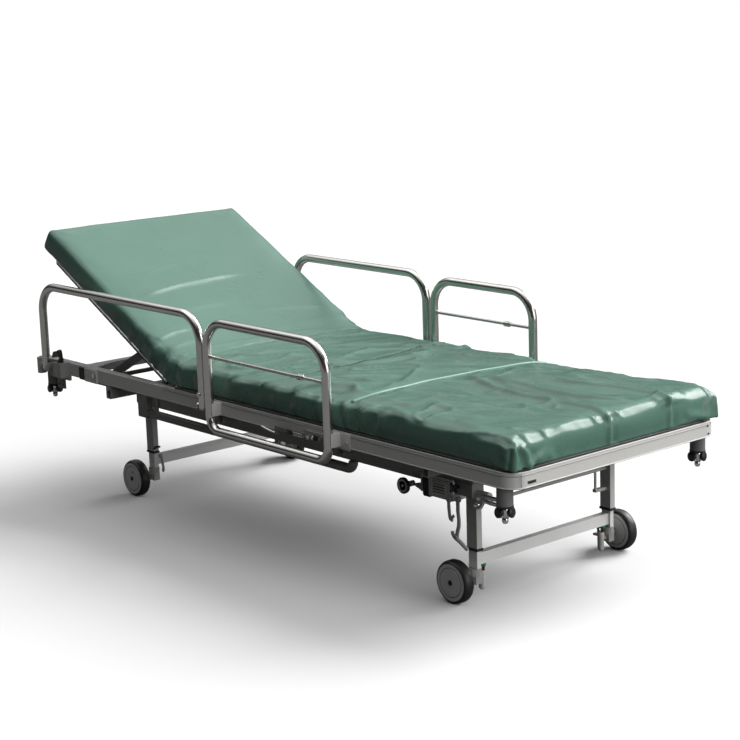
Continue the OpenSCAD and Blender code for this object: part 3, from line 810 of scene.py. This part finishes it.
# ---------------------------------------------------------------- fittings
class Build:
    """Collects bevelled blocks, bent rods and turned shapes into one mesh."""

    def __init__(self):
        self.bm = bmesh.new()

    def take(self, part):
        mesh = bpy.data.meshes.new("part")
        part.to_mesh(mesh)
        part.free()
        self.bm.from_mesh(mesh)
        bpy.data.meshes.remove(mesh)

    def block(self, low, high, edge):
        """Box between two corners with bevelled edges."""
        part = bmesh.new()
        bmesh.ops.create_cube(part, size=1)
        for v in part.verts:
            v.co = Vector(
                low[k] + (v.co[k] + 0.5) * (high[k] - low[k]) for k in range(3)
            )
        bmesh.ops.bevel(
            part, geom=part.edges[:], offset=edge, segments=2, profile=0.5, affect="EDGES"
        )
        self.take(part)

    def rod(self, points, radius, sides, flat=1.0):
        """Bent rod; flat below 1 squeezes it across y."""
        pts = resample(points, max(len(points) * 6, 8)) if len(points) > 2 else np.array(points)
        mid = pts[:, 1].mean()
        part = bmesh.new()
        rings, side = [], None
        for k, p in enumerate(pts):
            tangent = Vector(pts[min(k + 1, len(pts) - 1)] - pts[max(k - 1, 0)]).normalized()
            across = tangent.orthogonal() if side is None else side - side.dot(tangent) * tangent
            side = across.normalized()
            ring = circle(Vector(p), radius, side, side.cross(tangent), sides)
            for at in ring:
                at.y = mid + (at.y - mid) * flat
            rings.append([part.verts.new(at) for at in ring])
        skin(part, rings)
        self.take(part)

    def turned(self, centre, axis, profile, sides=40):
        """Shape turned about axis; profile lists (distance along, radius)."""
        part = bmesh.new()
        axis = Vector(axis).normalized()
        side = axis.orthogonal().normalized()
        top = axis.cross(side)
        rings = []
        for along, radius in profile:
            at = Vector(centre) + along * axis
            rings.append([part.verts.new(v) for v in circle(at, radius, side, top, sides)])
        skin(part, rings)
        self.take(part)

    def plate(self, outline, y0, y1):
        """Bevelled plate cut to an outline in x and z."""
        part = bmesh.new()
        front = [part.verts.new((x, y0, z)) for x, z in outline]
        back = [part.verts.new((x, y1, z)) for x, z in outline]
        count = len(outline)
        part.faces.new(front)
        part.faces.new(back[::-1])
        for k in range(count):
            part.faces.new((front[k], back[k], back[(k + 1) % count], front[(k + 1) % count]))
        bmesh.ops.recalc_face_normals(part, faces=part.faces)
        bmesh.ops.bevel(
            part, geom=part.edges[:], offset=0.0012, segments=2, profile=0.5, affect="EDGES"
        )
        self.take(part)

    def ball(self, centre, radius, squash=1.0):
        """Ball, lower than it is wide when squash is below 1."""
        steps = [math.pi * k / 10 for k in range(11)]
        self.turned(
            centre, (0, 0, 1),
            [(-math.cos(t) * radius * squash, max(math.sin(t) * radius, 0.00002))
             for t in steps], 24,
        )

    def place(self, name, body, look, slot):
        """Turn what was collected into one piece."""
        mesh = bpy.data.meshes.new(name)
        self.bm.to_mesh(mesh)
        self.bm.free()
        obj = to_object(name, mesh, body, look)
        mesh.polygons.foreach_set("use_smooth", [True] * len(mesh.polygons))
        edges = obj.modifiers.new("edges", "EDGE_SPLIT")
        edges.split_angle = math.radians(38)
        return obj


def deck_ring(out, z, start):
    """Line round the deck's foot end and both sides, out from the rail face."""
    half = DECK_HALF + out
    far = DECK_END + out
    r = DECK_CORNER + out
    turn = [math.radians(6 * k) for k in range(16)]
    pts = [(start, -half, z)]
    pts += [(far - r + r * math.sin(t), -half + r - r * math.cos(t), z) for t in turn]
    pts += [(far - r + r * math.cos(t), half - r + r * math.sin(t), z) for t in turn]
    pts.append((start, half, z))
    return pts


def trim_deck():
    """Beads, joint lines and plates of the deck rails, with painted light: a dark line as painted
    shade of a rail groove, a black strip as painted shadow under the mattress edge and a black
    patch as painted shade inside the foot-rail slot.
    """
    for name, out, z, start, radius, look, slot, sides in (
        ("rail_top_bead", -0.0012, 0.3887, -0.36, 0.0016, "pale", "grey_paint", 6),
        # dark grey line below the top edge: painted shade of a small groove in the rail face
        ("rail_groove_shade_line", 0.0001, 0.3815, -0.36, 0.0011, "grey", "grey_paint", 6),
        ("rail_lower_bead", 0.0002, 0.3515, -0.70, 0.0016, "pale", "grey_paint", 6),
        # black strip under the mattress edge: painted shadow of the gap between cover and rail
        ("mattress_gap_shadow_strip", -0.0075, 0.3925, -0.31, 0.0040, "rubber", "black_rubber", 8),
    ):
        sweep(name, deck_ring(out, z, start), radius, "deck", look, sides)
    line = Build()
    line.block((1.0497, -0.3417, 0.3545), (1.0504, -0.3405, 0.3868), 0.0002)
    line.block((1.0497, 0.3405, 0.3545), (1.0504, 0.3417, 0.3868), 0.0002)
    # black patch inside the slot rim: painted shade in the slot opening
    line.block((1.0497, -0.3190, 0.3600), (1.0509, -0.2930, 0.3662), 0.0004)
    line.turned((1.0498, 0.328, 0.3800), (1, 0, 0), [(0, 0.0032), (0.0010, 0.0030)], 16)
    line.turned((1.0498, 0.332, 0.3585), (1, 0, 0), [(0, 0.0030), (0.0010, 0.0028)], 16)
    line.place("foot_rail_joints_and_slot_shade", "deck", "black", "black_plastic")
    frame_ring = Build()
    frame_ring.block((1.0495, -0.3210, 0.3588), (1.0503, -0.2910, 0.3674), 0.0003)
    frame_ring.place("foot_rail_slot_rim", "deck", "grey", "grey_paint")
    for side, label in ((-1, "near"), (1, "far")):
        plate = Build()
        x = 0.394 if side < 0 else 0.343
        y0, y1 = sorted((side * 0.3675, side * 0.3705))
        plate.block((x, y0, 0.3450), (x + 0.078, y1, 0.3885), 0.0009)
        for dx in (0.012, 0.066):
            plate.turned((x + dx, side * 0.3704, 0.366), (0, side, 0),
                         [(0, 0.0046), (0.0016, 0.0044), (0.0024, 0.0030)], 20)
        plate.place("rail_plate_" + label, "deck", "pale", "grey_paint")


def trim_backrest():
    """Piping and a black strip along the backrest's lower edges; the black strip is painted shadow
    of the gap under the back cushion.
    """
    up = Vector((-math.cos(BACK_ANGLE), 0, math.sin(BACK_ANGLE)))
    out = Vector((math.sin(BACK_ANGLE), 0, math.cos(BACK_ANGLE)))
    for side, label in ((-1, "near"), (1, "far")):
        points = []
        for along, above in ((0.032, 0.0424), (0.20, 0.0425), (0.45, 0.0430), (0.672, 0.0434)):
            at = HINGE + along * up + above * out
            points.append((at.x, side * 0.3552, at.z))
        sweep("backrest_piping_" + label, points, 0.0020, "backrest", "pale", 8)
        # black strip under the back cushion's edge: painted shadow of the gap
        points = [(p[0], side * 0.3530, p[2] - 0.0060) for p in points]
        sweep("backrest_gap_shadow_" + label, points, 0.0034, "backrest", "rubber", 8)


def wheel_trim():
    """Bolt, cap ring and slot on both faces of every wheel, and a dark ring of painted shade in
    each hub groove.
    """
    for end, leg_x in (("head", -0.626), ("foot", 0.787)):
        for side, label in ((-1, "near"), (1, "far")):
            body = f"{end}_{label}_wheel"
            x, y, z = leg_x - CASTOR_TRAIL, side * WHEEL_TRACK, WHEEL_HEIGHT
            bolt, ring = Build(), Build()
            for face in (-1, 1):
                base = y + face * 0.0168
                bolt.turned((x, base, z), (0, face, 0),
                            [(0, 0.0066), (0.0010, 0.0066), (0.0018, 0.0056), (0.0019, 0.0044),
                             (0.0010, 0.0040)], 28)
                bolt.turned((x, base + face * 0.0006, z), (0, face, 0),
                            [(0, 0.0026), (0.0016, 0.0024)], 6)
                if end == "head":
                    bolt.turned((x + 0.006, base - face * 0.0004, z + 0.021), (0, face, 0),
                                [(0, 0.0030), (0.0010, 0.0028)], 12)
                # dark ring on the hub face: painted shade in the hub groove
                ring.turned((x, y + face * 0.0150, z), (0, face, 0),
                            [(0, 0.0382), (0.0012, 0.0382), (0.0012, 0.0352), (0, 0.0352)], 72)
            bolt.place(f"{end}_{label}_hub_bolt", body, "black", "black_plastic")
            ring.place(f"{end}_{label}_hub_groove_shade", body, "deep", "hub_grey")


def corner_bumpers():
    """Twin rollers, yoke and band below each deck corner."""
    axis = Vector((0.647, 0.763, 0))
    ahead = Vector((0.763, -0.647, 0))
    discs, yokes, bands = Build(), Build(), Build()
    for x in (-1.006, 1.002):
        for y in (-0.3475, 0.3475):
            for s in (-1, 1):
                tilt = (axis * s * 0.8 + ahead * 0.55 + Vector((0, 0, 0.12))).normalized()
                centre = Vector((x, y, 0.2880)) + axis * s * 0.0115
                discs.turned(centre, tilt, [
                    (0, 0.0090), (0.0006, 0.0120), (0.0036, 0.0134), (0.0072, 0.0130),
                    (0.0092, 0.0104), (0.0096, 0.0040)], 32)
            yokes.turned((x, y, 0.268), (0, 0, 1), [
                (-0.0075, 0.0022), (-0.0060, 0.0058), (-0.0010, 0.0080), (0.0050, 0.0074),
                (0.0080, 0.0050), (0.0120, 0.0064), (0.0200, 0.0098), (0.0280, 0.0104),
                (0.0340, 0.0080), (0.0362, 0.0060)], 28)
            for s in (-1, 1):
                low = Vector((x, y, 0.274)) + axis * s * 0.004
                high = Vector((x, y, 0.300)) + axis * s * 0.0165
                yokes.rod([low, (low + high) / 2 + axis * s * 0.003, high], 0.0034, 10)
            bands.turned((x, y, 0.3005), (0, 0, 1), [
                (0, 0.0150), (0.0004, 0.0206), (0.0050, 0.0208), (0.0056, 0.0202)], 40)
    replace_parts(discs.place("corner_rollers", "deck", "black", "black_plastic"), "corner_discs")
    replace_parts(yokes.place("corner_roller_yokes", "deck", "chrome", "bright_steel"),
                "corner_yokes")
    bands.place("corner_stub_bands", "deck", "rubber", "black_rubber")


def wing(x, side):
    """Butterfly grip of a clamp screw, standing on the rail bracket."""
    part = Build()
    y = side * 0.390
    part.turned((x, y, 0.392), (0, 0, 1), [
        (-0.028, 0.0038), (0.0, 0.0040), (0.0, 0.0100), (0.0040, 0.0104), (0.0090, 0.0070),
        (0.0120, 0.0060)], 28)
    outline = [
        (-0.043, 0.004), (-0.035, 0.023), (-0.029, 0.026), (-0.011, 0.030), (-0.002, 0.035),
        (0.004, 0.032), (0.007, 0.019), (0.008, 0.009), (0.013, 0.003), (0.009, 0.001),
        (0.000, 0.006), (-0.001, 0.012), (-0.020, 0.008)]
    part.plate([(x + a, 0.3985 + b) for a, b in outline], y - 0.0055, y + 0.0055)
    return part


def head_fittings():
    """Butterfly grips and hanging plates at the head end."""
    for side, label, shift in ((-1, "near", 0.0), (1, "far", 0.255)):
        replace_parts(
            wing(-0.889 + shift, side).place("wing_grip_" + label, label + "_wing_knob", "black",
                                             "black_plastic"),
            "wing_knob_" + label)
        part = Build()
        y0, y1 = sorted((side * 0.358, side * 0.362))
        part.block((-0.963, y0, 0.300), (-0.918, y1, 0.352), 0.0010)
        part.place("hanging_plate_" + label, "deck", "deep", "grey_paint")
        part = Build()
        for x in (-0.952, -0.929):
            part.turned((x, side * 0.3618, 0.312), (0, side, 0),
                        [(0, 0.0040), (0.0014, 0.0036)], 16)
        part.place("hanging_plate_screws_" + label, "deck", "black", "black_plastic")


def latch_fittings():
    """Linkage, spring and pads of the foot-rail latches."""
    for side, label, shift in ((-1, "near", 0.0), (1, "far", -0.051)):
        steel, dark = Build(), Build()
        y = side * 0.3735
        steel.rod([(0.108 + shift, y, 0.3520), (0.150 + shift, y, 0.3450),
                   (0.170 + shift, y, 0.3440)], 0.0030, 10)
        steel.turned((0.318 + shift, side * 0.3838, 0.361), (0, side, 0),
                     [(0, 0.0080), (0.0020, 0.0078), (0.0034, 0.0050)], 24)
        steel.turned((0.338 + shift, side * 0.3838, 0.361), (0, side, 0),
                     [(0, 0.0050), (0.0030, 0.0044)], 18)
        coil = []
        for k in range(57):
            turn = 2 * math.pi * k / 8
            coil.append((0.262 + shift + 0.00072 * k, side * 0.3872 + 0.0028 * math.cos(turn),
                         0.3600 + 0.0050 * math.sin(turn)))
        steel.rod(coil, 0.0009, 6)
        y0, y1 = sorted((side * 0.3832, side * 0.3872))
        dark.block((0.232 + shift, y0, 0.3540), (0.251 + shift, y1, 0.3670), 0.0008)
        for x in (0.345, 0.354):
            dark.block((x + shift, y0, 0.3550), (x + 0.004 + shift, y1, 0.3690), 0.0006)
        steel.place("latch_linkage_" + label, label + "_latch", "steel", "bright_steel")
        dark.place("latch_pads_" + label, label + "_latch", "black", "black_plastic")


def foot_fittings():
    """Corner pipes, control knob, release lever, pedal and gearbox trim."""
    pipes = Build()
    for dz in (0.0, -0.0125):
        pipes.rod([
            (0.803, -0.250, 0.252 + dz), (0.835, -0.266, 0.262 + dz), (0.880, -0.296, 0.296 + dz),
            (0.925, -0.326, 0.304 + dz), (0.980, -0.345, 0.312 + dz)], 0.0052, 14)
    pipes.turned((0.806, -0.250, 0.246), (1, 0.3, 0.2), [
        (-0.004, 0.010), (0.004, 0.0125), (0.010, 0.0120), (0.013, 0.0085)], 28)
    pipes.place("foot_corner_pipes", "deck", "chrome", "bright_steel")
    rim = Build()
    rim.turned((0.579, -0.2880, 0.260), (0, -1, 0), [
        (-0.0048, 0.0188), (-0.0036, 0.0208), (0.0036, 0.0210), (0.0050, 0.0196),
        (0.0052, 0.0176), (0.0040, 0.0170)], 48)
    rim.place("control_knob_rim", "control_knob", "black", "black_plastic")
    face = Build()
    face.turned((0.579, -0.2918, 0.260), (0, -1, 0), [
        (0, 0.0168), (0.0008, 0.0164), (0.0008, 0.0128), (0.0002, 0.0124), (0.0002, 0.0040),
        (0.0012, 0.0034)], 48)
    face.place("control_knob_face", "control_knob", "hub", "hub_grey")
    lever = Build()
    lever.rod([(0.739, -0.2822, 0.262), (0.739, -0.2822, 0.236), (0.741, -0.2822, 0.218),
               (0.743, -0.2822, 0.205), (0.752, -0.2822, 0.203)], 0.0056, 14, 0.42)
    lever.rod([(0.743, -0.2822, 0.206), (0.752, -0.2822, 0.211), (0.757, -0.2822, 0.216)],
              0.0042, 12, 0.42)
    lever.turned((0.739, -0.2794, 0.254), (0, -1, 0),
                 [(0, 0.0085), (0.0044, 0.0085), (0.0056, 0.0060)])
    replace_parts(lever.place("release_lever_shape", "release_lever", "leg", "grey_paint"),
                "release_lever")
    pedal = Build()
    pedal.rod([(0.764, -0.2750, 0.258), (0.764, -0.2750, 0.225), (0.767, -0.2750, 0.205),
               (0.766, -0.2750, 0.188), (0.760, -0.2750, 0.172), (0.759, -0.2750, 0.160)],
              0.0062, 16, 0.45)
    pedal.ball((0.7585, -0.2750, 0.1600), 0.0052)
    pedal.rod([(0.742, -0.2740, 0.164), (0.747, -0.2730, 0.156), (0.764, -0.2690, 0.146),
               (0.785, -0.2640, 0.130)], 0.0055, 14, 0.8)
    pedal.rod([(0.742, -0.2740, 0.163), (0.741, -0.2740, 0.171)], 0.0040, 12)
    pedal.turned((0.764, -0.2700, 0.256), (0, -1, 0),
                 [(0, 0.0075), (0.0080, 0.0075), (0.0094, 0.0055)])
    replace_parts(pedal.place("foot_pedal_shape", "foot_pedal", "leg", "grey_paint"), "foot_pedal")
    washers = Build()
    washers.turned((0.7460, -0.2724, 0.2930), (0, -1, 0), [(0, 0.0070), (0.0016, 0.0068)], 28)
    washers.turned((0.7480, -0.2724, 0.2720), (0, -1, 0), [(0, 0.0062), (0.0016, 0.0060)], 28)
    washers.place("gearbox_washers", "deck", "chrome", "bright_steel")
    # black strips in the gearbox vents: painted shade inside the slot openings
    slots = Build()
    for k in range(5):
        z = 0.2585 + 0.0078 * k
        slots.block((0.6710, -0.2748, z), (0.7210 - 0.0015 * k, -0.2732, z + 0.0030), 0.0003)
    slots.place("gearbox_slot_shade", "deck", "black", "black_plastic")
    bellows = Build()
    for k in range(4):
        x = 0.6345 + 0.0058 * k
        bellows.block((x, -0.2735, 0.2445), (x + 0.0034, -0.2120, 0.2990), 0.0011)
    bellows.place("gearbox_bellows", "deck", "rubber", "black_rubber")


def castor_fittings():
    """Brake levers of the foot castors, leg hooks and sleeve clips."""
    for side, label in ((-1, "near"), (1, "far")):
        body = label + "_brake"
        grey, green, dark, red = Build(), Build(), Build(), Build()
        y = side * 0.2180
        grey.turned((0.785, y, 0.0180), (0, 0, 1), [
            (0, 0.0040), (0.0020, 0.0072), (0.0060, 0.0084), (0.0400, 0.0092), (0.0470, 0.0098),
            (0.0500, 0.0084), (0.0510, 0.0040)], 28)
        grey.rod([(0.785, side * 0.2335, 0.0510), (0.785, y, 0.0510)], 0.0070, 16)
        grey.block((0.762, y - 0.006, 0.0560), (0.790, y + 0.006, 0.0620), 0.0012)
        green.ball((0.7905, y, 0.0835), 0.0074, 0.9)
        dark.turned((0.7905, y, 0.0700), (0, 0, 1),
                    [(0, 0.0030), (0.0080, 0.0040), (0.0084, 0.0020)], 16)
        dark.ball((0.7760, y, 0.0790), 0.0052)
        dark.turned((0.7760, y, 0.0600), (0, 0, 1), [(0, 0.0030), (0.0180, 0.0030)], 14)
        red.turned((0.7905, y, 0.0685), (0, 0, 1), [(0, 0.0046), (0.0018, 0.0046)], 20)
        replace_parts(grey.place(label + "_brake_lever", body, "leg", "grey_paint"),
                    "brake_pedal_" + label)
        green.place(label + "_brake_green_knob", body, "green", "black_plastic")
        dark.place(label + "_brake_pins", body, "black", "black_plastic")
        red.place(label + "_brake_red_ring", body, "red", "black_plastic")
        hook = Build()
        y = side * 0.226
        hook.rod([(-0.612, y, 0.118), (-0.606, y, 0.108), (-0.604, y, 0.092), (-0.600, y, 0.078),
                  (-0.604, y, 0.066)], 0.0058, 14, 0.5)
        hook.turned((-0.612, y, 0.1150), (0, side, 0), [(-0.004, 0.0060), (0.004, 0.0060)], 20)
        hook.place("head_leg_hook_" + label, "head_legs", "leg", "grey_paint")
        clip = Build()
        clip.rod([(-0.606, side * 0.2545, 0.1420), (-0.602, side * 0.2460, 0.1470),
                  (-0.603, side * 0.2340, 0.1450)], 0.0036, 10)
        clip.place("sleeve_clip_" + label, "deck", "black", "black_plastic")


trim_deck()
trim_backrest()
wheel_trim()
corner_bumpers()
head_fittings()
latch_fittings()
foot_fittings()
castor_fittings()
